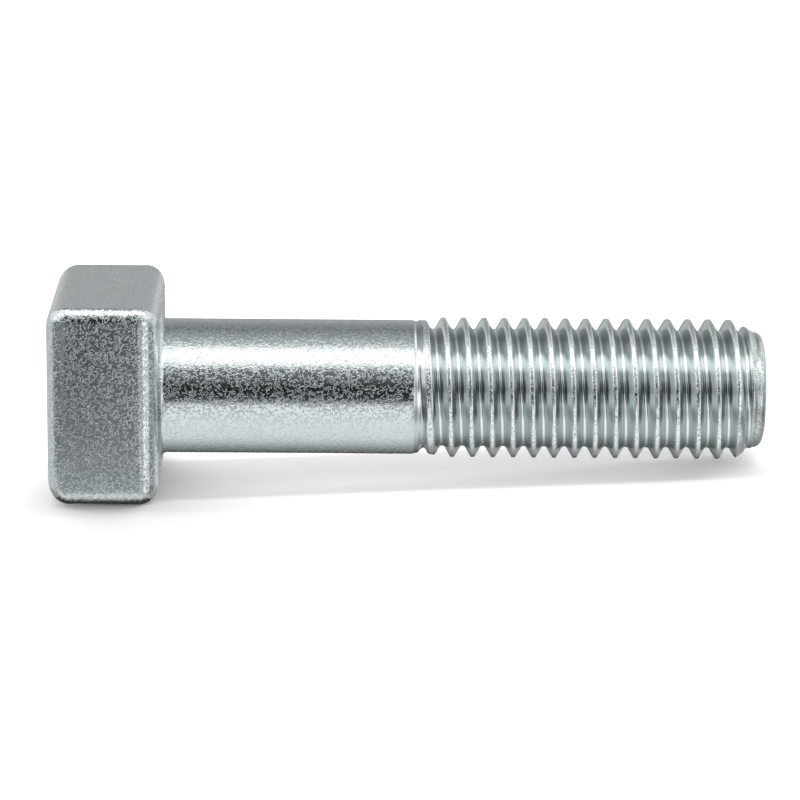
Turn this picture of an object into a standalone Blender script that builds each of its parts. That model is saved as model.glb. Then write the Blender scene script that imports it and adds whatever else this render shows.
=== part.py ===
# Battery bolt: a square-headed machine bolt, forged and thread-rolled from one steel bar.
# It is drawn lying along +X, with the bearing face under the head at x = 0, the head behind
# that face and the point at +X. A parent empty then lays it down as it comes to rest on a
# table: on the lower edge of the head and on the last full crest of the thread.
import bisect
import math

import bmesh
import bpy
from mathutils import Matrix, Vector

# Driving sizes in metres: the head, the shank, the thread and the point
HEAD_ACROSS_FLATS = 0.0170
HEAD_THICKNESS = 0.0093
HEAD_EDGE_RADIUS = 0.0015
SHANK_DIAMETER = 0.0115
PLAIN_SHANK_LENGTH = 0.0215
NECK_FILLET_RADIUS = 0.0005
THREAD_LENGTH = 0.0300
THREAD_MAJOR_DIAMETER = 0.0120
THREAD_PITCH = 0.00175
GROOVE_RUN_OUT_LENGTH = 0.0014
CREST_RUN_OUT_LENGTH = 0.0012
POINT_DIAMETER = 0.0088
POINT_CHAMFER_LENGTH = 0.0021
POINT_RIM_RADIUS = 0.0003

# The forged head sits a little above the shank's axis
HEAD_RISE = 0.0002

# Flank angle of a metric thread, and where its crest leaves the plain shank, measured about
# the bolt's axis from +Y towards +Z
THREAD_FLANK_HALF_ANGLE = math.radians(30.0)
THREAD_START_ANGLE = math.radians(263.0)

# Shares of a metric thread: the crest flat in pitches, the root radius in sharp heights
CREST_FLAT_SHARE = 1.0 / 8.0
ROOT_RADIUS_SHARE = 1.0 / 6.0

# Narrowest flat land left around the neck, and across the rim of the head
LEAST_LAND = 0.0003

# How finely the round forms are divided
SIDES = 36
HEAD_EDGE_SEGMENTS = 4
NECK_FILLET_SEGMENTS = 4
ROOT_SEGMENTS = 3
RIM_SEGMENTS = 3

# Thread corners nearer than this share of the pitch to an end ring join that ring
RING_SNAP_SHARE = 0.04

# Edges sharper than this stay crisp when shaded
SHARP_EDGE_ANGLE = math.radians(35.0)

# Bright zinc plate
ZINC_COLOUR = (0.60, 0.63, 0.64, 1.0)
ZINC_ROUGHNESS = 0.28
ZINC_METALLIC = 1.0

# Sizes that follow from the driving ones
TURN = 2.0 * math.pi
HEAD_HALF_WIDTH = HEAD_ACROSS_FLATS / 2.0
SHANK_RADIUS = SHANK_DIAMETER / 2.0
NECK_RADIUS = SHANK_RADIUS + NECK_FILLET_RADIUS
MAJOR_RADIUS = THREAD_MAJOR_DIAMETER / 2.0
POINT_RADIUS = POINT_DIAMETER / 2.0
TIP_X = PLAIN_SHANK_LENGTH + THREAD_LENGTH
CREST_WIDTH = THREAD_PITCH * CREST_FLAT_SHARE
SHARP_HEIGHT = THREAD_PITCH / (2.0 * math.tan(THREAD_FLANK_HALF_ANGLE))
ROOT_RADIUS = SHARP_HEIGHT * ROOT_RADIUS_SHARE
POINT_ANGLE = math.atan2(MAJOR_RADIUS - POINT_RADIUS, POINT_CHAMFER_LENGTH)

# The rounding of the head's edges stays within the land around the neck and the thickness
EDGE_RADIUS = min(
    HEAD_EDGE_RADIUS,
    HEAD_HALF_WIDTH - HEAD_RISE - NECK_RADIUS - LEAST_LAND,
    (HEAD_THICKNESS - LEAST_LAND) / 2.0,
)


def remove_everything():
    for old_object in list(bpy.data.objects):
        bpy.data.objects.remove(old_object, do_unlink=True)


def zinc_plate():
    material = bpy.data.materials.new("zinc_plate")
    material.use_nodes = True
    shader = material.node_tree.nodes["Principled BSDF"]
    shader.inputs["Base Color"].default_value = ZINC_COLOUR
    shader.inputs["Metallic"].default_value = ZINC_METALLIC
    shader.inputs["Roughness"].default_value = ZINC_ROUGHNESS
    return material


# Thread form

# Corners of one pitch as (place in pitches, depth below the crest): the crest flat around
# place 0, then the flank down to the round root around place 0.5
def thread_corners():
    root_reach = math.pi / 2.0 - THREAD_FLANK_HALF_ANGLE
    root_half_width = ROOT_RADIUS * math.sin(root_reach)
    flank_width = (THREAD_PITCH - CREST_WIDTH) / 2.0 - root_half_width
    flank_depth = flank_width / math.tan(THREAD_FLANK_HALF_ANGLE)
    crest_reach = CREST_FLAT_SHARE / 2.0
    corners = [(-crest_reach, 0.0), (crest_reach, 0.0)]
    for step in range(ROOT_SEGMENTS + 1):
        angle = root_reach * (2.0 * step / ROOT_SEGMENTS - 1.0)
        place = 0.5 + ROOT_RADIUS * math.sin(angle) / THREAD_PITCH
        depth = flank_depth + ROOT_RADIUS * (math.cos(angle) - math.cos(root_reach))
        corners.append((place, depth))
    return corners


CORNERS = thread_corners()
CORNER_PLACES = [place for place, depth in CORNERS] + [CORNERS[0][0] + 1.0]
CORNER_DEPTHS = [depth for place, depth in CORNERS] + [CORNERS[0][1]]


# Depth below the crest at any place along the pitch, on the straight lines between corners
def thread_depth(place):
    place = (place - CORNER_PLACES[0]) % 1.0 + CORNER_PLACES[0]
    after = min(max(bisect.bisect_right(CORNER_PLACES, place), 1), len(CORNER_PLACES) - 1)
    span = CORNER_PLACES[after] - CORNER_PLACES[after - 1]
    share = (place - CORNER_PLACES[after - 1]) / span
    return CORNER_DEPTHS[after - 1] * (1.0 - share) + CORNER_DEPTHS[after] * share


# Smooth rise from 0 to 1
def ease(share):
    share = min(max(share, 0.0), 1.0)
    return share * share * (3.0 - 2.0 * share)


# Radius of the rolled thread: the groove sinks into the shank first, and the crest is
# pushed up above the shank one run-out further on
def thread_radius(x, angle):
    place = (x - PLAIN_SHANK_LENGTH) / THREAD_PITCH - (angle - THREAD_START_ANGLE) / TURN
    offset = MAJOR_RADIUS - thread_depth(place) - SHANK_RADIUS
    past_shank = x - PLAIN_SHANK_LENGTH
    if offset < 0.0:
        return SHANK_RADIUS + offset * ease(past_shank / GROOVE_RUN_OUT_LENGTH)
    crest_rise = (past_shank - GROOVE_RUN_OUT_LENGTH) / CREST_RUN_OUT_LENGTH
    return SHANK_RADIUS + offset * ease(crest_rise)


# Radius of the cone that bevels the point
def chamfer_radius(x):
    return POINT_RADIUS + (TIP_X - x) * math.tan(POINT_ANGLE)


# Rounded rim between the cone and the flat end, as (x, radius) from the cone inwards
def rim_profile():
    turn_angle = math.pi / 2.0 - POINT_ANGLE
    setback = POINT_RIM_RADIUS * math.tan(turn_angle / 2.0)
    centre_x = TIP_X - POINT_RIM_RADIUS
    centre_radius = POINT_RADIUS - setback
    profile = []
    for step in range(RIM_SEGMENTS + 1):
        angle = turn_angle * (1.0 - step / RIM_SEGMENTS)
        x = centre_x + POINT_RIM_RADIUS * math.cos(angle)
        profile.append((x, centre_radius + POINT_RIM_RADIUS * math.sin(angle)))
    return profile


# Meshing

def side_angle(side):
    return TURN * side / SIDES


def vertex_at(mesh, x, radius, angle):
    return mesh.verts.new((x, radius * math.cos(angle), radius * math.sin(angle)))


# One ring of vertices around the bolt's axis
def ring_at(mesh, x, radius):
    return [vertex_at(mesh, x, radius, side_angle(side)) for side in range(SIDES)]


def join_rings(mesh, first, second):
    for side in range(SIDES):
        following = (side + 1) % SIDES
        mesh.faces.new((first[side], first[following], second[following], second[side]))


# Forged head: a block with every edge and corner rounded
def add_head(mesh):
    block = bmesh.ops.create_cube(mesh, size=1.0)["verts"]
    size = Matrix.Diagonal((HEAD_THICKNESS, HEAD_ACROSS_FLATS, HEAD_ACROSS_FLATS, 1.0))
    place = Matrix.Translation((-HEAD_THICKNESS / 2.0, 0.0, HEAD_RISE))
    bmesh.ops.transform(mesh, matrix=place @ size, verts=block)
    bmesh.ops.bevel(
        mesh,
        geom=list(mesh.edges),
        offset=EDGE_RADIUS,
        segments=HEAD_EDGE_SEGMENTS,
        profile=0.5,
        affect="EDGES",
    )


# The bearing face is opened, and filled again around the neck
def join_head_to_neck(mesh, neck_ring):
    mesh.faces.ensure_lookup_table()
    head_faces = [face for face in mesh.faces if face.calc_center_median().x <= 0.0]
    bearing_face = max(head_faces, key=lambda face: face.calc_center_median().x)
    outer_edges = list(bearing_face.edges)
    mesh.faces.remove(bearing_face)
    neck_edges = []
    for side in range(SIDES):
        neck_edges.append(mesh.edges.get((neck_ring[side], neck_ring[(side + 1) % SIDES])))
    bmesh.ops.triangle_fill(
        mesh,
        edges=outer_edges + neck_edges,
        use_beauty=True,
        normal=Vector((1.0, 0.0, 0.0)),
    )


# Fillet from the bearing face to the plain shank. Returns its first and last rings.
def add_neck(mesh):
    rings = []
    for step in range(NECK_FILLET_SEGMENTS + 1):
        angle = math.pi / 2.0 * step / NECK_FILLET_SEGMENTS
        x = NECK_FILLET_RADIUS * (1.0 - math.cos(angle))
        rings.append(ring_at(mesh, x, NECK_RADIUS - NECK_FILLET_RADIUS * math.sin(angle)))
    for first, second in zip(rings, rings[1:]):
        join_rings(mesh, first, second)
    return rings[0], rings[-1]


# Helical thread: every corner of the profile runs along its own helix. One turn of a helix
# moves on by one pitch, so the last side joins the first one a whole profile further along.
# Corners beyond an end ring fall onto it. Returns the last ring.
def add_thread(mesh, first_ring, last_x):
    corner_count = len(CORNERS)
    snap = THREAD_PITCH * RING_SNAP_SHARE
    turn_count = math.ceil((last_x - PLAIN_SHANK_LENGTH) / THREAD_PITCH) + 3
    row_count = turn_count * corner_count
    last_ring = []
    columns = []
    for side in range(SIDES):
        angle = side_angle(side)
        lead = (angle - THREAD_START_ANGLE) / TURN - 1.0
        end_radius = min(thread_radius(last_x, angle), chamfer_radius(last_x))
        end_vertex = vertex_at(mesh, last_x, end_radius, angle)
        last_ring.append(end_vertex)
        column = []
        for row in range(row_count):
            turn, corner = divmod(row, corner_count)
            place = lead + turn + CORNERS[corner][0]
            x = PLAIN_SHANK_LENGTH + place * THREAD_PITCH
            if x < PLAIN_SHANK_LENGTH + snap:
                column.append(first_ring[side])
            elif x > last_x - snap:
                column.append(end_vertex)
            else:
                radius = min(thread_radius(x, angle), chamfer_radius(x))
                column.append(vertex_at(mesh, x, radius, angle))
        columns.append(column)
    for side in range(SIDES):
        shift = corner_count * ((side + 1) // SIDES)
        near = columns[side]
        far = columns[(side + 1) % SIDES][shift:]
        for row in range(len(far) - 1):
            corners = (near[row], far[row], far[row + 1], near[row + 1])
            loop = list(dict.fromkeys(corners))
            if len(loop) > 2:
                mesh.faces.new(loop)
    return last_ring


# Rounded rim and flat end
def add_end(mesh, ring, profile):
    for x, radius in profile[1:]:
        next_ring = []
        for side in range(SIDES):
            angle = side_angle(side)
            next_ring.append(vertex_at(mesh, x, min(thread_radius(x, angle), radius), angle))
        join_rings(mesh, ring, next_ring)
        ring = next_ring
    mesh.faces.new(ring)


def build_bolt():
    mesh = bmesh.new()
    rim = rim_profile()
    add_head(mesh)
    neck_ring, shank_ring = add_neck(mesh)
    join_head_to_neck(mesh, neck_ring)
    thread_ring = ring_at(mesh, PLAIN_SHANK_LENGTH, SHANK_RADIUS)
    join_rings(mesh, shank_ring, thread_ring)
    end_ring = add_thread(mesh, thread_ring, rim[0][0])
    add_end(mesh, end_ring, rim)
    bmesh.ops.recalc_face_normals(mesh, faces=mesh.faces)
    data = bpy.data.meshes.new("battery_bolt")
    mesh.to_mesh(data)
    mesh.free()
    data.shade_smooth()
    data.set_sharp_from_angle(angle=SHARP_EDGE_ANGLE)
    data.materials.append(zinc_plate())
    bolt = bpy.data.objects.new("battery_bolt", data)
    bpy.context.scene.collection.objects.link(bolt)
    return bolt


# Resting place

# The table line touches the rounded lower edge of the head and then the first thread vertex
# that it meets as the nose comes down: that is the smallest slope over all of them
def resting_slope(points):
    edge_x = -EDGE_RADIUS
    edge_z = HEAD_RISE + EDGE_RADIUS - HEAD_HALF_WIDTH
    slopes = []
    for point in points:
        if point.x > PLAIN_SHANK_LENGTH:
            reach = math.hypot(point.x - edge_x, point.z - edge_z)
            rise = math.atan2(point.z - edge_z, point.x - edge_x)
            slopes.append(rise + math.asin(EDGE_RADIUS / reach))
    return min(slopes)


# The origin of the part is the middle of its footprint, at table height
def lay_down(bolt):
    points = [vertex.co for vertex in bolt.data.vertices]
    lean = Matrix.Rotation(resting_slope(points), 4, "Y")
    laid = [lean @ point for point in points]
    middle_x = (min(point.x for point in laid) + max(point.x for point in laid)) / 2.0
    middle_y = (min(point.y for point in laid) + max(point.y for point in laid)) / 2.0
    lowest_z = min(point.z for point in laid)
    rest_pose = bpy.data.objects.new("rest_pose", None)
    bpy.context.scene.collection.objects.link(rest_pose)
    rest_pose.matrix_world = Matrix.Translation((-middle_x, -middle_y, -lowest_z)) @ lean
    bolt.parent = rest_pose


remove_everything()
lay_down(build_bolt())
bpy.context.view_layer.update()
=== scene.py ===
# Battery bolt: square head, plain shank and rolled thread, bright zinc plate.
# It lies as it comes to rest, on the lower edge of the head and the last full crest.

import math

import bpy
import numpy as np
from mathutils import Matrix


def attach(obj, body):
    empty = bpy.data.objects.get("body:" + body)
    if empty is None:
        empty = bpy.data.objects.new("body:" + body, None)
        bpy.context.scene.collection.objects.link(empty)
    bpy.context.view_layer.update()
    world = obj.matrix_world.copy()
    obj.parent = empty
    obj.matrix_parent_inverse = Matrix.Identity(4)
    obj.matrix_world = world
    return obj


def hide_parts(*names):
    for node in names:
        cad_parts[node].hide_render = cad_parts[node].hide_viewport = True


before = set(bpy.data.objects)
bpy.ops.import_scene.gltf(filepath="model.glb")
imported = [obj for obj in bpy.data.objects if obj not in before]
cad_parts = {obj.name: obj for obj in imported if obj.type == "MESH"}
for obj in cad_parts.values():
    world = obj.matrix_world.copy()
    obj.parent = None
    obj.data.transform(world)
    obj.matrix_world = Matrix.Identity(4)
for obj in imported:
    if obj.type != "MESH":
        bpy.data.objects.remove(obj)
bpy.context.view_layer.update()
print("frame loaded", sorted(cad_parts))

mm = 0.001
turn = 2 * math.pi


def ease(share):
    # smooth rise from 0 to 1: 3s^2 - 2s^3
    share = np.clip(share, 0, 1)
    return share * share * (3 - 2 * share)


def rising(value, low, high):
    # eases from 0 at low to 1 at high
    return ease((value - low) / (high - low))


def between(value, span):
    # eases in over the span's first two numbers and out over its last two
    return rising(value, *span[:2]) * (1 - rising(value, *span[2:]))


def blend(a, b, share):
    return a + (b - a) * share


def softLower(a, b, width):
    # the lower of two heights, with the corner where they cross rounded over width
    mix = np.clip(0.5 + 0.5 * (b - a) / width, 0, 1)
    return b + (a - b) * mix - width * mix * (1 - mix)


def waves(table, *axes):
    # sines added up: each row of the table holds a rate along each axis, then a shift
    return sum(np.sin(sum(rate * axis for rate, axis in zip(row, axes)) + row[-1]) for row in table)


def bandFaces(index):
    # quads between each row of point numbers and the next one
    corners = [index[:-1, :-1], index[:-1, 1:], index[1:, 1:], index[1:, :-1]]
    return np.stack(corners, -1).reshape(-1, 4)


def addMesh(name, points, faces):
    mesh = bpy.data.meshes.new(name)
    mesh.from_pydata(points.tolist(), [], faces)
    mesh.shade_smooth()
    thing = bpy.data.objects.new(name, mesh)
    bpy.context.scene.collection.objects.link(thing)
    return thing


def storeOnPoints(thing, name, values):
    kind = "FLOAT_VECTOR" if values.ndim == 2 else "FLOAT"
    field = "vector" if values.ndim == 2 else "value"
    attribute = thing.data.attributes.new(name, kind, "POINT")
    attribute.data.foreach_set(field, values.astype(np.float32).ravel())


# Camera: long lens, a little above the bolt, head to the left

camera = {
    "lens": 166.46,                              # mm
    "sensor": 36,                                # mm
    "place": (-0.001985, -0.306023, 0.091989),   # m
    "turned": (74.3157, 1.9447, -0.7981),        # degrees
    "sees": (0.01, 20),                          # m, nearest and farthest
}


def addCamera():
    data = bpy.data.cameras.new("photoCamera")
    data.lens = camera["lens"]
    data.sensor_width = camera["sensor"]
    data.clip_start, data.clip_end = camera["sees"]
    eye = bpy.data.objects.new("photoCamera", data)
    eye.location = camera["place"]
    eye.rotation_euler = [math.radians(angle) for angle in camera["turned"]]
    bpy.context.scene.collection.objects.link(eye)
    bpy.context.scene.camera = eye


addCamera()
print("camera placed")


# The bolt: lengths in mm, angles in degrees, drawn with the bearing face at x = 0

bolt = {
    "headAcross": 17.0,
    "headThick": 9.3,
    "headRise": 0.2,          # the head sits this much above the shank's axis
    "faceRound": 1.34,        # front and back edges: a soft round from the face ...
    "faceRoundTo": 52.8,
    "crispRound": 0.53,       # ... that ends in a tighter one at the upper and lower flats
    "endRound": 1.79,
    "bearingRound": 1.52,
    "innerCorner": 0.5,
    "headUneven": 0.008,
    "headWaves": ((1.3, 0, 0.9, 0), (-0.8, 1.1, 0, 2), (0, 1.2, 1.6, 4)),   # by x, y and z
    "waveReach": 8,           # from the axis, where the head's waves have their full height
    "neckFillet": 0.5,
    "shankAcross": 11.5,
    "shankLong": 21.5,
    "threadLong": 30.0,
    "threadAcross": 12.0,
    "pitch": 1.75,
    "threadStart": 263.0,
    "flankAngle": 30,
    "crestFlat": 0.31,
    "crestRound": 0.13,
    # the crest's painted highlight fades out there too
    "crestShoulder": 0.12,    # below the crest, where its wear and its pits end
    "crestUneven": 0.012,
    "crestWaves": ((3.1, 1, 0), (5.3, 2.2, 1), (8.7, -1, 2)),     # by angle round and by x
    "rootRound": 0.265,
    "ringPlace": 0.28,        # a shallow ring that the dies leave before the first groove
    "ringWide": 0.24,
    "ringDeep": 0.09,
    "grooveRunOut": 1.4,
    "crestRunOut": 1.2,
    "landAcross": 9.9,        # behind the rounded end: a short land as deep as the groove ...
    "landLong": 0.8,
    "bevelLong": 1.62,        # ... and a bevel that takes the last crests down to it
    "bevelBlend": 0.10,
    "rimRound": 0.75,
    "noseDown": 2.608832,
    "middle": (-21.02013, 0.0, 8.22468),
    # how finely the surface is divided
    "columnSteps": (12, 10, 6),                 # half a side of the head and its two rounds
    "crowding": 1.7,          # power by which steps crowd towards the head's corners
    "endShares": (0.12, 0.35, 0.6, 0.8, 0.93, 0.985),      # rings out over the end face
    "seatShares": (0.08, 0.35, 0.7, 0.93),                 # rings in over the bearing face
    "tipShares": (0.97, 0.8, 0.55, 0.3, 0.1),              # rings in over the point's end
    "roundSteps": 12,
    "headSteps": 8,
    "headClose": 0.08,        # extra rings this close to the rounds keep the flats flat
    "filletSteps": 8,
    "shankClose": 0.06,
    "shankSteps": 45,
    "cornerSteps": 4,
    "flankSteps": 3,
    "rootSteps": 3,
    "rimSteps": 7,
    "snap": 0.03,             # pitches, within which a helical row joins the ring at its end
}

sideSteps, softSteps, crispSteps = bolt["columnSteps"]
columns = 4 * (2 * sideSteps + softSteps + crispSteps)

shankRadius = bolt["shankAcross"] / 2
majorRadius = bolt["threadAcross"] / 2
landRadius = bolt["landAcross"] / 2
tipX = bolt["shankLong"] + bolt["threadLong"]
around = turn * np.arange(columns) / columns
outward = np.stack([np.cos(around), np.sin(around)], 1)


def threadProfile():
    # one pitch as (place in pitches, depth below the crest): a narrow crest flat with
    # rounded corners, straight flanks and a round root, mirrored about the root
    pitch, flat = bolt["pitch"], bolt["crestFlat"]
    corner, root = bolt["crestRound"], bolt["rootRound"]
    steep = 90 - bolt["flankAngle"]
    swing = np.radians(np.linspace(0, steep, bolt["cornerSteps"] + 1))
    cornerMiddle = flat / 2 - corner * math.tan(swing[-1] / 2)
    reach = np.concatenate([[0.0], cornerMiddle + corner * np.sin(swing)])
    depth = np.concatenate([[0.0], corner * (1 - np.cos(swing))])
    rootSwing = np.radians(np.linspace(steep, 0, bolt["rootSteps"] + 1))
    rootReach = pitch / 2 - root * np.sin(rootSwing)
    flankDepth = (rootReach[0] - flat / 2) / math.tan(math.radians(bolt["flankAngle"]))
    rootDepth = flankDepth + root * (np.cos(rootSwing) - np.cos(rootSwing[0]))
    share = np.linspace(0, 1, bolt["flankSteps"] + 1)[1:-1]
    flankReach = blend(reach[-1], rootReach[0], share)
    flank = blend(depth[-1], rootDepth[0], share)
    halfReach = np.concatenate([reach, flankReach, rootReach]) / pitch
    halfDepth = np.concatenate([depth, flank, rootDepth])
    place = np.concatenate([halfReach, 1 - halfReach[-2:0:-1]])
    return place, np.concatenate([halfDepth, halfDepth[-2:0:-1]])


profilePlace, profileDepth = threadProfile()


def threadPlace(x, angle):
    # where a point lies along the thread's profile, in pitches
    start = math.radians(bolt["threadStart"])
    return (x - bolt["shankLong"]) / bolt["pitch"] - (angle - start) / turn


def profileAt(place):
    # depth below the crest at any place along the pitch
    return np.interp(place % 1, np.append(profilePlace, 1), np.append(profileDepth, 0))


def crestShare(place):
    # 1 on the crest, falling to 0 at its shoulders
    return 1 - rising(profileAt(place), 0, bolt["crestShoulder"])


def threadRadius(x, place):
    # shank radius plus the profile: what lies under the shank sinks in over the groove
    # run-out, what lies above it rises one run-out later, and the bevel cuts both off
    past = x - bolt["shankLong"]
    offset = majorRadius - profileAt(place) - shankRadius
    sink = ease(past / bolt["grooveRunOut"])
    rise = ease((past - bolt["grooveRunOut"]) / bolt["crestRunOut"])
    radius = shankRadius + np.where(offset < 0, offset * sink, offset * rise)
    run = (x / bolt["pitch"] - place) * turn
    wave = waves(bolt["crestWaves"], run, x)
    worn = bolt["crestUneven"] / len(bolt["crestWaves"]) * (1 + wave)
    radius = radius - worn * crestShare(place) * rise
    ring = ease(1 - np.abs(past - bolt["ringPlace"]) / bolt["ringWide"])
    radius = radius - bolt["ringDeep"] * ring
    beforeLand = np.maximum(tipX - bolt["landLong"] - x, 0) / bolt["bevelLong"]
    bevel = blend(landRadius, majorRadius, beforeLand)
    return softLower(radius, bevel, bolt["bevelBlend"])


def arc(middle, radius, angles):
    return middle + radius * np.stack([np.cos(angles), np.sin(angles)], 1)


def squareRing(half, corner, arcs):
    # a ring of columns from a quarter outline, +Y round to +Z, mirrored twice: the front up
    # to the corner's start, its arcs, and the upper flat back from its end, with steps that
    # crowd towards the corner
    shares = 1 - (1 - np.arange(sideSteps + 1) / sideSteps) ** bolt["crowding"]
    side = np.column_stack([np.full(sideSteps + 1, half), corner[1] * shares])
    top = np.column_stack([corner[0] * shares[-2::-1], np.full(sideSteps, half)])
    quarter = np.concatenate([side] + arcs + [top])
    upper = np.concatenate([quarter, quarter[-2::-1] * (-1, 1)])
    return np.concatenate([upper, upper[-2:0:-1] * (1, -1)])


def headOutline():
    # the head's section: flat front, a soft arc from it, a tighter arc into the upper flat
    half = bolt["headAcross"] / 2
    soft, crisp, swap = bolt["faceRound"], bolt["crispRound"], math.radians(bolt["faceRoundTo"])
    softAngles = swap * np.arange(1, softSteps + 1) / softSteps
    crispAngles = swap + (turn / 4 - swap) * np.arange(1, crispSteps + 1) / crispSteps
    softMiddle = np.array([half - soft, half - crisp - (soft - crisp) * math.sin(swap)])
    crispMiddle = softMiddle + (soft - crisp) * np.array([math.cos(swap), math.sin(swap)])
    arcs = [arc(softMiddle, soft, softAngles), arc(crispMiddle, crisp, crispAngles)]
    return squareRing(half, (crispMiddle[0], softMiddle[1]), arcs)


def innerOutline(setBack):
    # a nearly sharp square, set back from the head's sides, with a point for each column
    half, corner = bolt["headAcross"] / 2 - setBack, bolt["innerCorner"]
    steps = softSteps + crispSteps
    angles = turn / 4 * np.arange(1, steps + 1) / steps
    return squareRing(half, (half - corner, half - corner), [arc(half - corner, corner, angles)])


def headRows():
    # the head as rings: the end face, a quarter ellipse from its inner square out to the
    # section, the section carried along x, a quarter ellipse to the bearing face, and that
    # face in to the neck
    outline = headOutline()
    endRound, bearing = bolt["endRound"], bolt["bearingRound"]
    endInner, bearingInner = innerOutline(endRound), innerOutline(bearing)
    first, last = endRound - bolt["headThick"], -bearing
    close = bolt["headClose"]
    middles = np.linspace(first, last, bolt["headSteps"] + 1)[1:-1]
    swing = np.radians(np.linspace(90, 0, bolt["roundSteps"] + 1))
    rows = [(-bolt["headThick"], endInner * share) for share in bolt["endShares"]]
    rows += [(first - endRound * math.sin(angle), blend(endInner, outline, math.cos(angle)))
             for angle in swing]
    rows += [(x, outline) for x in np.concatenate([[first + close], middles, [last - close]])]
    rows += [(last + bearing * math.sin(angle), blend(bearingInner, outline, math.cos(angle)))
             for angle in swing[::-1]]
    shift = np.array([0, bolt["headRise"]])
    rows = [(x, yz + shift) for x, yz in rows]
    neck = outward * (shankRadius + bolt["neckFillet"])
    rows += [(0.0, blend(bearingInner + shift, neck, share)) for share in bolt["seatShares"]]
    return [np.column_stack([np.full(columns, x), uneven(x, yz)]) for x, yz in rows]


def uneven(x, yz):
    # forging leaves the flats very slightly wavy: slow sines push points out and in
    y, z = yz.T
    wave = waves(bolt["headWaves"], x, y, z) / bolt["waveReach"]
    return yz * (1 + bolt["headUneven"] / len(bolt["headWaves"]) * wave)[:, None]


def shankRows():
    # neck fillet as a quarter circle, then the plain shank up to the thread
    fillet = bolt["neckFillet"]
    swing = np.radians(np.linspace(0, 90, bolt["filletSteps"] + 1))
    plain = np.linspace(fillet, bolt["shankLong"], bolt["shankSteps"] + 1)[1:]
    x = np.concatenate([fillet * (1 - np.cos(swing)), [fillet + bolt["shankClose"]], plain])
    radius = np.full(len(x), shankRadius)
    radius[:len(swing)] = shankRadius + fillet * (1 - np.sin(swing))
    return [np.column_stack([np.full(columns, a), outward * r]) for a, r in zip(x, radius)]


def endRows():
    # a quarter circle from the land to the flat end, then rings in to the centre; where the
    # thread is still deeper than the circle, the thread holds
    swing = np.linspace(turn / 4, 0, bolt["rimSteps"] + 1)
    tipShares = np.array(bolt["tipShares"])
    rim = bolt["rimRound"]
    rimRadius = landRadius - rim
    x = np.concatenate([tipX - rim + rim * np.cos(swing), np.full(len(tipShares), tipX)])
    radius = np.concatenate([rimRadius + rim * np.sin(swing), rimRadius * tipShares])
    cut = threadRadius(np.minimum(x, tipX - rim)[:, None], threadPlace(x[:, None], around))
    cut = np.minimum(cut, radius[:, None])
    return [np.column_stack([np.full(columns, a), outward * r[:, None]]) for a, r in zip(x, cut)]


def buildBolt():
    head, shank, end = headRows(), shankRows(), endRows()
    rings = head + shank
    points = [np.array([[-bolt["headThick"], 0.0, bolt["headRise"]]])] + rings
    ringStart = 1 + columns * np.arange(len(rings))
    count = 1 + columns * len(rings)

    # helical rows: each profile point runs along its own helix, so one turn on, column
    # `columns` meets column 0 a whole profile further along
    firstX, lastX = bolt["shankLong"], tipX - bolt["rimRound"]
    perPitch = len(profilePlace)
    turns = math.ceil((lastX - firstX) / bolt["pitch"]) + 3
    rowPlace = (np.arange(turns)[:, None] + profilePlace).ravel()
    lead = -threadPlace(firstX, around) - 1
    x = firstX + (rowPlace[:, None] + lead) * bolt["pitch"]
    snap = bolt["snap"] * bolt["pitch"]
    free = (x > firstX + snap) & (x < lastX - snap)
    radius = threadRadius(x, rowPlace[:, None])
    helix = np.stack([x, radius * outward[:, 0], radius * outward[:, 1]], -1)[free]
    points.append(helix)
    index = np.where(x <= firstX + snap, ringStart[-1] + np.arange(columns), 0)
    index[free] = count + np.arange(len(helix))
    count += len(helix)
    points += end
    endStart = count + columns * np.arange(len(end))
    count += columns * len(end)
    beyond = x >= lastX - snap
    index[beyond] = np.broadcast_to(endStart[0] + np.arange(columns), x.shape)[beyond]
    points.append(np.array([[tipX, 0.0, 0.0]]))

    wrapped = np.append(index[perPitch:, 0], np.full(perPitch, endStart[0]))
    column = np.arange(columns)
    closed = np.append(column, 0)
    quads = np.concatenate([bandFaces(np.column_stack([index, wrapped])),
                            bandFaces(ringStart[:, None] + closed),
                            bandFaces(endStart[:, None] + closed)])
    # quads that fell together on an end ring: one pair alike leaves a triangle, two nothing
    alike = quads == np.roll(quads, -1, 1)
    whole = quads[alike.sum(1) == 0]
    folded = alike.sum(1) == 1
    triangles = quads[folded][~alike[folded]].reshape(-1, 3)
    centre, following = np.zeros(columns, int), closed[1:]
    fans = [np.stack([centre, 1 + following, 1 + column], -1),
            np.stack([centre + count, endStart[-1] + column, endStart[-1] + following], -1)]
    faces = whole[:, ::-1].tolist() + triangles[:, ::-1].tolist()
    faces += np.concatenate(fans)[:, ::-1].tolist()
    return np.concatenate(points), faces


def layDown(points):
    # turn the nose down about Y and move the footprint's middle to the origin, in metres
    lean = math.radians(bolt["noseDown"])
    x, y, z = points.T
    forward = x * math.cos(lean) + z * math.sin(lean)
    up = z * math.cos(lean) - x * math.sin(lean)
    return (np.stack([forward, y, up], 1) + np.array(bolt["middle"])) * mm


# Zinc plate: curly grain on head and shank, pitted crests, fine streaks in the groove.
# Sizes, heights and depths in mm; a pair of levels is where a noise starts to count and
# where it counts in full.

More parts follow.
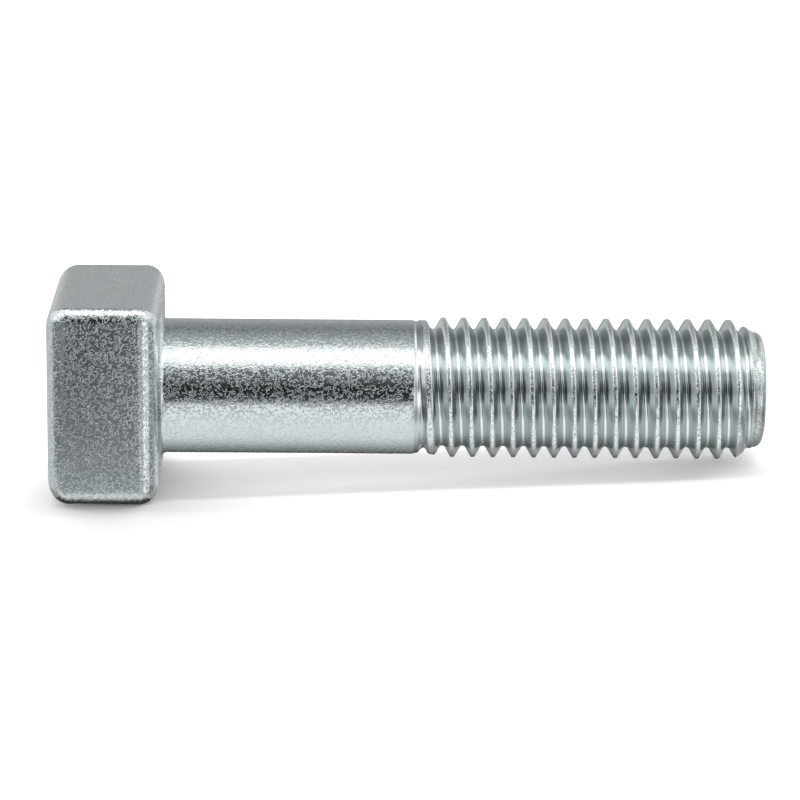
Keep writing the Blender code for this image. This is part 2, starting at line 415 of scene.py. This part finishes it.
zinc = {
    "colour": (0.655, 0.70, 0.715, 1),
    # the groove's colour: partly the plate's greener tint, partly painted shade, darker over the
    # flanks and root
    "grooveTintAndShadeColour": (0.56, 0.612, 0.62, 1),
    # painted highlight: lighter crests, so that they shine as bright lines
    "crestHighlightColour": (0.86, 0.885, 0.89, 1),
    "pitColour": (0.30, 0.32, 0.33, 1),
    # painted highlight: a thin near-white line along the root of the groove
    "rootHighlightColour": (0.94, 0.97, 0.97, 1),
    "speckColour": (1.0, 1.0, 1.0, 1),
    "roughness": 0.12,
    "curlRoughness": 0.21,           # added on the curls, and so on
    "crestRoughness": 0.05,
    "grooveRoughness": 0.06,
    "grainSize": 0.25,
    "grainDepth": 0.010,
    "grainDetail": 0.6,
    "grainTwist": 0.5,
    "curlSize": 0.35,
    "curlWidth": 0.075,              # share of the noise, about its middle
    "curlHeight": 0.0155,
    "curlShifts": (0.0, 3.7, 8.1),
    "curlTilt": 0.3,
    "patchSize": 0.315,
    "curlLevels": (0.51, 0.58),
    "speckLevels": (0.50, 0.58),
    "pitSize": 0.13,
    "pitDepth": 0.014,
    "pitLevels": (0.36, 0.48),
    "dentLevels": (0.41, 0.34),      # the dark bottoms of the pits
    "streakSize": 0.05,
    "streakDepth": 0.0012,
    "streakRound": 0.10,             # how slowly the streaks change round the bolt ...
    "streakAlong": 0.3,              # ... and along it
    "fineDetail": 2.0,               # of the pits and the streaks
    # where each finish lies, and how much of one shows on another
    "threadFade": (-0.1, 0.2),       # past the end of the shank
    "firstCrestFade": (2.2, 3.4),    # past the end of the shank
    "firstCrestCurls": 0.8,
    "bevelClear": 0.6,               # share of the bevel before the point's finish begins
    "pointFade": 0.8,
    "pointCurls": 0.25,
    "pointGroove": 0.7,
    "pointStreaks": 3,
    "speckFade": (-0.5, -0.1),       # from the planes of the upper and lower flats
    "neckFade": (0, 0.5),            # past the bearing face
    "shankRelief": 0.6,
    "rootHighlightWide": 0.13,
}


def surfaceKinds(points):
    # shares for the plate: how curly its grain is, how raised, sparse bright specks on the
    # upper and lower flats, pitted crests and point, rolled groove, the streaks in both, and
    # the root line; the crest and root colours paint a highlight, the groove's partly paints shade
    x, y, z = points.T
    place = threadPlace(x, np.arctan2(z, y))
    past = x - bolt["shankLong"]
    pointFrom = tipX - bolt["landLong"] - zinc["bevelClear"] * bolt["bevelLong"]
    onThread = rising(past, *zinc["threadFade"])
    onPoint = ease((x - pointFrom) / zinc["pointFade"])
    offFlats = np.abs(z - bolt["headRise"]) - bolt["headAcross"] / 2
    specks = rising(offFlats, *zinc["speckFade"])
    crest = crestShare(place) * onThread * (1 - onPoint)
    firstCrest = crest * (1 - rising(past, *zinc["firstCrestFade"]))
    curls = (1 - onThread) * (1 - specks)
    curls = curls + zinc["firstCrestCurls"] * firstCrest + zinc["pointCurls"] * onPoint
    relief = curls * blend(1, zinc["shankRelief"], rising(x, *zinc["neckFade"]))
    groove = onThread * (1 - crest) * blend(1, zinc["pointGroove"], onPoint)
    streaks = groove + zinc["pointStreaks"] * onPoint
    # the root line's share: where its painted highlight goes
    offRoot = np.abs(place % 1 - 0.5) * bolt["pitch"]
    root = (1 - rising(offRoot, 0, zinc["rootHighlightWide"])) * onThread * (1 - onPoint)
    return {"curls": np.clip(curls, 0, 1), "relief": relief, "specks": specks, "crest": crest,
            "pits": crest + onPoint, "groove": groove, "streaks": streaks, "root": root}


def grooveGrain(points):
    # a place for streaks that run along the groove: the profile as a circle, so that it
    # closes from turn to turn, and slow steps round the bolt
    x, y, z = points.T
    angle = turn * threadPlace(x, np.arctan2(z, y))
    across = bolt["pitch"] / turn
    slow = zinc["streakRound"] * y + zinc["streakAlong"] * x
    circle = [across * np.cos(angle), across * np.sin(angle)]
    return np.stack(circle + [slow], 1), zinc["streakRound"] * z


boltPoints, boltFaces = buildBolt()
boltPiece = addMesh("zincBolt", layDown(boltPoints), boltFaces)
for kind, share in surfaceKinds(boltPoints).items():
    storeOnPoints(boltPiece, kind, share)
grainPlace, grainTurn = grooveGrain(boltPoints)
storeOnPoints(boltPiece, "grainPlace", grainPlace)
storeOnPoints(boltPiece, "grainTurn", grainTurn)
print("bolt built", len(boltPoints), "points")


class Graph:
    # shorthand for adding nodes: numbers and colours go straight on the sockets
    def __init__(self, name):
        self.material = bpy.data.materials.new(name)
        self.material.use_nodes = True
        self.nodes, self.links = self.material.node_tree.nodes, self.material.node_tree.links

    def add(self, kind, values):
        node = self.nodes.new(kind)
        for name, value in values.items():
            self.put(node.inputs[name], value)
        return node

    def put(self, socket, value):
        if isinstance(value, bpy.types.NodeSocket):
            self.links.new(value, socket)
        else:
            socket.default_value = value

    def math(self, operation, a, b=0.0):
        node = self.add("ShaderNodeMath", {0: a, 1: b})
        node.operation = operation
        return node.outputs[0]

    def times(self, a, b):
        return self.math("MULTIPLY", a, b)

    def step(self, value, levels):
        # eases from 0 at the first level to 1 at the second, either way round
        low, high = sorted(levels)
        before, after = (0.0, 1.0) if levels[0] < levels[1] else (1.0, 0.0)
        node = self.add("ShaderNodeMapRange", {"Value": value, "From Min": low, "From Max": high,
                                               "To Min": before, "To Max": after})
        node.interpolation_type = "SMOOTHSTEP"
        return node.outputs[0]

    def noise(self, vector, size, detail=0.0, distortion=0.0, w=None):
        node = self.add("ShaderNodeTexNoise", {"Vector": vector, "Scale": 1 / size,
                                               "Detail": detail, "Distortion": distortion})
        node.noise_dimensions = "3D" if w is None else "4D"
        if w is not None:
            self.put(node.inputs["W"], w)
        return node.outputs[0]

    def field(self, name, output="Fac"):
        node = self.nodes.new("ShaderNodeAttribute")
        node.attribute_name = name
        return node.outputs[output]

    def bump(self, height, distance, normal=None):
        node = self.add("ShaderNodeBump", {"Distance": distance, "Height": height})
        if normal is not None:
            self.put(node.inputs["Normal"], normal)
        return node.outputs[0]

    def mixColour(self, share, a, b):
        # sockets 6 and 7 are the mix node's two colours
        node = self.nodes.new("ShaderNodeMix")
        node.data_type = "RGBA"
        for number, value in ((0, share), (6, a), (7, b)):
            self.put(node.inputs[number], value)
        return node.outputs[2]


def zincPlate():
    g = Graph("zincPlate")
    place = g.nodes.new("ShaderNodeTexCoord").outputs["Object"]
    curls, relief, specks, crest = (g.field(k) for k in ("curls", "relief", "specks", "crest"))
    pits, groove, streaks, root = (g.field(k) for k in ("pits", "groove", "streaks", "root"))
    detail, twist, fine = zinc["grainDetail"], zinc["grainTwist"], zinc["fineDetail"]

    # curls: short strokes where a noise crosses its middle value, three sets laid over each
    # other, each broken up by a patchy noise of its own; and a fine wavy grain
    stroke = speck = 0.0
    for shift in zinc["curlShifts"]:
        away = g.nodes.new("ShaderNodeVectorMath")
        g.put(away.inputs[0], place)
        away.inputs[1].default_value = (shift, zinc["curlTilt"] * shift, -shift)
        wander = g.noise(away.outputs[0], zinc["curlSize"] * mm, detail, twist)
        offMiddle = g.math("ABSOLUTE", g.math("SUBTRACT", wander, 0.5))
        line = g.step(offMiddle, (zinc["curlWidth"], 0.0))
        patch = g.noise(away.outputs[0], zinc["patchSize"] * mm)
        stroke = g.math("MAXIMUM", g.times(line, g.step(patch, zinc["curlLevels"])), stroke)
        speck = g.math("MAXIMUM", g.times(line, g.step(patch, zinc["speckLevels"])), speck)
    speck = g.times(speck, specks)
    grain = g.times(g.noise(place, zinc["grainSize"] * mm, detail, twist), curls)

    # crests: small pits with dark bottoms; groove and point: streaks along the thread
    pitted = g.noise(place, zinc["pitSize"] * mm, fine)
    pit = g.times(g.step(pitted, zinc["pitLevels"]), pits)
    dent = g.times(g.step(pitted, zinc["dentLevels"]), pits)
    along, slow = g.field("grainPlace", "Vector"), g.field("grainTurn")
    streak = g.times(g.noise(along, zinc["streakSize"], fine, 0.0, slow), streaks)

    normal = g.bump(g.math("ADD", g.times(stroke, relief), speck), zinc["curlHeight"] * mm)
    normal = g.bump(grain, zinc["grainDepth"] * mm, normal)
    normal = g.bump(pit, zinc["pitDepth"] * mm, normal)
    normal = g.bump(streak, zinc["streakDepth"] * mm, normal)

    rough = zinc["roughness"]
    for share, more in ((g.times(stroke, curls), "curlRoughness"), (crest, "crestRoughness"),
                        (groove, "grooveRoughness")):
        rough = g.math("ADD", g.times(share, zinc[more]), rough)

    # the crest and root colours are painted highlights, the groove colour is partly painted shade
    colour = zinc["colour"]
    for share, other in ((groove, "grooveTintAndShadeColour"), (crest, "crestHighlightColour"), (root, "rootHighlightColour"),
                         (speck, "speckColour"), (dent, "pitColour")):
        colour = g.mixColour(share, colour, zinc[other])

    shader = g.nodes["Principled BSDF"]
    g.put(shader.inputs["Base Color"], colour)
    shader.inputs["Metallic"].default_value = 1
    g.put(shader.inputs["Roughness"], rough)
    g.put(shader.inputs["Normal"], normal)
    return g.material


boltPiece.data.materials.append(zincPlate())
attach(boltPiece, "root")
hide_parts("battery_bolt")
print("zinc plate made")


# Floor and lights. The world and a strip overhead draw the shadow, and two cards behind,
# one close to the floor, send light in under the shank.

studio = {
    "floorHalf": 3.0,
    "floorColour": 0.92,
    "floorLift": 0.16,       # more floor colour for the camera alone, which makes it white
    "worldLight": 0.455,
    "cardDistance": 1.0,
    "cardWide": 3.0,
    "lowHeights": (0.0, 0.05),
    "lowWatts": 311,
    "highHeights": (0.12, 0.34),
    "highWatts": 21.7,
    "stripSize": (1.6, 0.08),
    "stripPlace": (0, 0.08, 0.6),
    "stripWatts": 2.35,
}


def addWorld():
    # plain white for the camera and for mirror and glass rays, dimmer as a light
    world = bpy.data.worlds.new("paleStudio")
    world.use_nodes = True
    nodes, links = world.node_tree.nodes, world.node_tree.links
    path = nodes.new("ShaderNodeLightPath")
    seen = path.outputs["Is Camera Ray"]
    for name in ("Is Glossy Ray", "Is Transmission Ray"):
        either = nodes.new("ShaderNodeMath")
        either.operation = "MAXIMUM"
        links.new(seen, either.inputs[0])
        links.new(path.outputs[name], either.inputs[1])
        seen = either.outputs[0]
    mix = nodes.new("ShaderNodeMix")
    mix.inputs["A"].default_value = studio["worldLight"]
    mix.inputs["B"].default_value = 1.0
    links.new(seen, mix.inputs["Factor"])
    back = nodes["Background"]
    back.inputs["Color"].default_value = (1, 1, 1, 1)
    links.new(mix.outputs["Result"], back.inputs["Strength"])
    world.cycles.sampling_method = "NONE"
    bpy.context.scene.world = world


def addFloor():
    corners = np.array([[-1, -1, 0], [1, -1, 0], [1, 1, 0], [-1, 1, 0]])
    floor = addMesh("paleFloor", corners * studio["floorHalf"], [(0, 1, 2, 3)])
    material = bpy.data.materials.new("paleFloor")
    material.use_nodes = True
    nodes, links = material.node_tree.nodes, material.node_tree.links
    nodes.remove(nodes["Principled BSDF"])
    paint, lift = (nodes.new("ShaderNodeBsdfDiffuse") for _ in range(2))
    paint.inputs["Color"].default_value = [studio["floorColour"]] * 3 + [1]
    seen = nodes.new("ShaderNodeMath")
    seen.operation = "MULTIPLY"
    seen.inputs[1].default_value = studio["floorLift"]
    links.new(nodes.new("ShaderNodeLightPath").outputs["Is Camera Ray"], seen.inputs[0])
    links.new(seen.outputs[0], lift.inputs["Color"])
    both = nodes.new("ShaderNodeAddShader")
    links.new(paint.outputs[0], both.inputs[0])
    links.new(lift.outputs[0], both.inputs[1])
    links.new(both.outputs[0], nodes["Material Output"].inputs["Surface"])
    floor.data.materials.append(material)
    floor.visible_glossy = False       # metal sees the surroundings below instead


def addLamp(name, size, watts, place, tilt):
    data = bpy.data.lights.new(name, "AREA")
    data.shape = "RECTANGLE"
    data.size, data.size_y = size
    data.energy = watts
    lamp = bpy.data.objects.new(name, data)
    lamp.location = place
    lamp.rotation_euler = (math.radians(tilt), 0, 0)
    lamp.visible_camera = False
    lamp.visible_glossy = False
    bpy.context.scene.collection.objects.link(lamp)


def addBackCard(name, heights, watts):
    # an upright card behind the bolt that faces it
    low, high = heights
    place = (0, studio["cardDistance"], (low + high) / 2)
    addLamp(name, (studio["cardWide"], high - low), watts, place, -90)


def addLamps():
    addBackCard("lowBackCard", studio["lowHeights"], studio["lowWatts"])
    addBackCard("highBackCard", studio["highHeights"], studio["highWatts"])
    addLamp("overheadStrip", studio["stripSize"], studio["stripWatts"], studio["stripPlace"], 0)


# What the metal mirrors: a ball around the bolt that only glossy rays see. Along the middle
# its shade goes by the angle over the bolt, in degrees: from the floor behind, under the
# bolt, forward, over the front horizon, up to the softbox and back over the top.

surroundings = {
    "radius": 1.5,
    "overStep": 2.0,
    "asideSteps": 60,
    "asideEnd": 89.9,                # just short of the poles
    # the dark angles around -150, down behind the bolt, are painted shadow: the floor in the bolt's
    # shadow, as the metal mirrors it
    "middleAngles": (-196, -165, -150, -140, -115, -86, -20, -17.5, -15, -12, -7, 4,
                     14, 29, 40, 45, 50.5, 58, 75, 80, 85, 91, 129, 164),
    "middleShades": (0.50, 0.35, 0.05, 0.10, 0.36, 0.93, 1.12, 1.00, 0.57, 0.25, 0.06, 0.018,
                     0.022, 0.16, 0.20, 0.42, 1.00, 2.10, 2.10, 1.80, 0.95, 0.57, 0.23, 0.50),
    "beltAngles": (-180, -150, -100, -86, -79, -45, -20, 0, 15, 21.5, 25,
                   31, 60, 65, 77, 86, 95, 106, 118, 130, 180),               # compass
    "beltShades": (0.85, 0.70, 0.80, 0.80, 0.25, 0.20, 0.28, 0.30, 0.27, 0.52, 1.30,
                   1.38, 1.15, 0.40, 0.32, 0.34, 0.40, 0.60, 1.00, 1.05, 0.90),
    "beltRise": (-50, -35, -2, 10),  # in and out again, by height over the horizon
    "beltAside": (8, 18),            # it begins this far to the side
    "beltFoot": 0.45,                # share left at its lower edge
    "beltFootRise": (-25, -17),
    "highShade": 1.1,                # high up at both sides
    "highRise": (1, 15),
    "highAside": 22,
    "highFade": 20,
    "softboxOver": (44, 50, 88, 98),
    "softboxWider": 36,              # beside the softbox the high sides begin further out ...
    "underOver": (24, 34, 44, 50),
    "underNarrower": 15,             # ... and under it nearer
    "tint": (0.94, 1.0, 1.01),       # of the dark parts
}

# A darker card on the floor that only the head mirrors; places in mm. Its shades give the
# head what it mirrors of the floor: dark far out, brighter near the head, and darkest at the
# head's foot and under it, where it is painted shadow, the contact shadow as the head mirrors it

headShadeCard = {
    "shades": (0.04, 0.06, 0.11, 0.19, 0.30, 0.37, 0.58, 0.82, 0.88, 0.84, 0.60, 0.22,
               0.07, 0.03, 0.01),
    "places": (-75, -68, -60, -40, -21, -13, -12, -11, -10, -9.0, -8.7, -8.5,
               -8.3, -7.8, 8.5),
    "left": (-42, -30.7),            # in front of the head and under it
    "leftFade": (-9.5, -8.8),
    "right": -21.8,                  # beside the head's front, with a slant as the view has
    "front": -8.5,
    "slant": 0.035,
    "height": 0.02,
}


def shadeOf(x, y, z):
    # shade by direction: the middle table, high sides, and a belt round the low horizon
    angles = surroundings["middleAngles"]
    over = np.degrees(np.arctan2(z, -y))
    over = np.where(over > angles[-1], over - 360, over)
    aside = np.abs(np.degrees(np.arcsin(np.clip(x, -1, 1))))
    rise = np.degrees(np.arcsin(np.clip(z, -1, 1)))
    compass = np.degrees(np.arctan2(x, -y))
    shade = np.interp(over, angles, surroundings["middleShades"])
    wider = surroundings["softboxWider"] * between(over, surroundings["softboxOver"])
    narrower = surroundings["underNarrower"] * between(over, surroundings["underOver"])
    outside = aside - surroundings["highAside"] - wider + narrower
    high = ease(outside / surroundings["highFade"]) * rising(rise, *surroundings["highRise"])
    shade = blend(shade, surroundings["highShade"], high)
    belt = np.interp(compass, surroundings["beltAngles"], surroundings["beltShades"])
    belt = belt * blend(surroundings["beltFoot"], 1, rising(rise, *surroundings["beltFootRise"]))
    low = between(rise, surroundings["beltRise"]) * rising(aside, *surroundings["beltAside"])
    return blend(shade, belt, low)


def glowMaterial():
    material = bpy.data.materials.new("screenShade")
    material.use_nodes = True
    material.cycles.emission_sampling = "NONE"
    nodes, links = material.node_tree.nodes, material.node_tree.links
    nodes.remove(nodes["Principled BSDF"])
    shade = nodes.new("ShaderNodeAttribute")
    shade.attribute_name = "shade"
    glow = nodes.new("ShaderNodeEmission")
    links.new(shade.outputs["Vector"], glow.inputs["Color"])
    # nothing for light that the metal would throw on the floor
    first = nodes.new("ShaderNodeMath")
    first.operation = "LESS_THAN"
    first.inputs[1].default_value = 0.5
    links.new(nodes.new("ShaderNodeLightPath").outputs["Diffuse Depth"], first.inputs[0])
    links.new(first.outputs[0], glow.inputs["Strength"])
    links.new(glow.outputs[0], nodes["Material Output"].inputs["Surface"])
    return material


def addScreen(name, points, shade):
    # a grid that only glossy rays see, tinted where it is dark
    faces = bandFaces(np.arange(shade.size).reshape(shade.shape))
    screen = addMesh(name, points.reshape(-1, 3), faces.tolist())
    level = shade.reshape(-1, 1)
    colour = level * blend(np.array(surroundings["tint"]), 1.0, np.clip(level, 0, 1))
    storeOnPoints(screen, "shade", colour)
    screen.data.materials.append(glowMaterial())
    for kind in ("camera", "diffuse", "transmission", "shadow", "volume_scatter"):
        setattr(screen, "visible_" + kind, False)


def addBall():
    # a ball as a grid of angle over the bolt by angle to the side, closed behind
    first, last = surroundings["middleAngles"][0], surroundings["middleAngles"][-1]
    end = surroundings["asideEnd"]
    over = np.radians(np.arange(first, last + 1, surroundings["overStep"]))[:, None]
    aside = np.radians(np.linspace(-end, end, surroundings["asideSteps"] + 1))
    x = np.sin(aside) * np.ones_like(over)
    y, z = -np.cos(aside) * np.cos(over), np.cos(aside) * np.sin(over)
    addScreen("surroundings", np.stack([x, y, z], -1) * surroundings["radius"], shadeOf(x, y, z))


def addHeadCard():
    # two points for each place: its left edge steps in under the head, its right one slants
    y = np.array(headShadeCard["places"])[:, None]
    left = blend(*headShadeCard["left"], rising(y, *headShadeCard["leftFade"]))
    right = headShadeCard["right"] + headShadeCard["slant"] * (y - headShadeCard["front"])
    x = np.concatenate([left, right], 1)
    points = np.stack([x, y * np.ones(2), np.full_like(x, headShadeCard["height"])], -1)
    addScreen("headShadeCard", points * mm, np.array(headShadeCard["shades"])[:, None] * np.ones(2))


addWorld()
addFloor()
addLamps()
addBall()
addHeadCard()
print("studio lit")

bpy.context.scene.view_settings.view_transform = "Standard"
